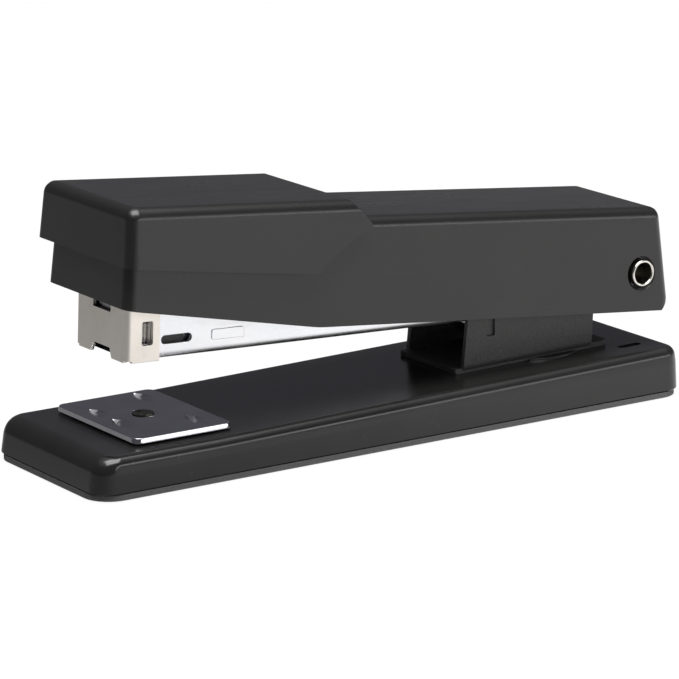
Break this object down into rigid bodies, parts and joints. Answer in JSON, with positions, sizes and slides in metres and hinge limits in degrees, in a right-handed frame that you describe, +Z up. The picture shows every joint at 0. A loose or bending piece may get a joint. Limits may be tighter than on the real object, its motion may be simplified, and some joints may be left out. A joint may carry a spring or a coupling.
{
  "type": "desk stapler",
  "caption": "Desk stapler with a steel base, a turning anvil, a hinged magazine and a moulded handle cover.",
  "frame": {"origin": "centre of the base pad's underside", "axes": "+X from the nose to the hinge, +Z up, +Y across the stapler"},
  "size_m": [0.1238, 0.036, 0.048],
  "materials": {
    "base_paint": "gloss black paint",
    "pad_rubber": "matte grey",
    "anvil_chrome": "bright plated",
    "pin_steel": "dark passivated",
    "bracket_paint": "fine textured black paint",
    "spring_steel": "plain spring steel",
    "rivet_nickel": "bright nickel",
    "magazine_zinc": "bright zinc",
    "nose_nickel": "satin nickel",
    "staple_wire": "galvanised wire",
    "frame_zinc": "plain zinc",
    "cover_plastic": "satin charcoal",
    "follower_plastic": "satin black"
  },
  "bodies": {
    "base": {"base_plate": "base_paint", "base_pad": "pad_rubber", "hinge_bracket": "bracket_paint", "lift_spring": "spring_steel", "bracket_rivet_front": "spring_steel", "bracket_rivet_rear": "spring_steel", "pivot_rivet": "rivet_nickel", "anvil_spring": "spring_steel"},
    "anvil_post": {"anvil_pin": "pin_steel", "anvil_button": "spring_steel"},
    "anvil": {"anvil_plate": "anvil_chrome"},
    "magazine": {"magazine_channel": "magazine_zinc", "nose_plate": "nose_nickel", "staple_rail": "magazine_zinc", "guide_rod": "spring_steel", "staple_strip": "staple_wire", "follower_spring": "spring_steel"},
    "pusher": {"follower": "follower_plastic"},
    "spring_carrier": {"handle_spring": "spring_steel"},
    "handle": {"top_cover": "cover_plastic", "handle_frame": "frame_zinc", "driver_blade": "spring_steel", "blade_rivet_left": "spring_steel", "blade_rivet_right": "spring_steel", "spring_rivet": "spring_steel"}
  },
  "joints": [
    {"name": "magazine_hinge", "type": "hinge", "parent": "base", "child": "magazine", "pos_m": [0.05506, 0, 0.02273], "axis": [0, 1, 0], "range_deg": [-6.2, 0], "stiffness_Nm_per_rad": 2, "springref_deg": 3.44, "deforming": ["lift_spring"]},
    {"name": "handle_open", "type": "hinge", "parent": "magazine", "child": "spring_carrier", "pos_m": [0.05506, 0, 0.02273], "axis": [0, 1, 0], "range_deg": [0, 70]},
    {"name": "handle_press", "type": "hinge", "parent": "spring_carrier", "child": "handle", "pos_m": [0.05506, 0, 0.02273], "axis": [0, 1, 0], "range_deg": [-3.8, 0], "stiffness_Nm_per_rad": 6, "springref_deg": 1.72, "deforming": ["handle_spring"]},
    {"name": "follower_slide", "type": "slide", "parent": "magazine", "child": "pusher", "axis": [0.9991, 0, -0.0429], "range_m": [0, 0.058], "stiffness_N_per_m": 40, "springref_m": -0.04, "deforming": ["follower_spring"]},
    {"name": "anvil_push", "type": "slide", "parent": "base", "child": "anvil_post", "axis": [0, 0, 1], "range_m": [0, 0.0014], "stiffness_N_per_m": 1500, "springref_m": -0.001, "deforming": ["anvil_spring"]},
    {"name": "anvil_turn", "type": "hinge", "parent": "anvil_post", "child": "anvil", "pos_m": [-0.0425, 0, 0.0086], "axis": [0, 0, 1], "range_deg": [0, 180]}
  ]
}
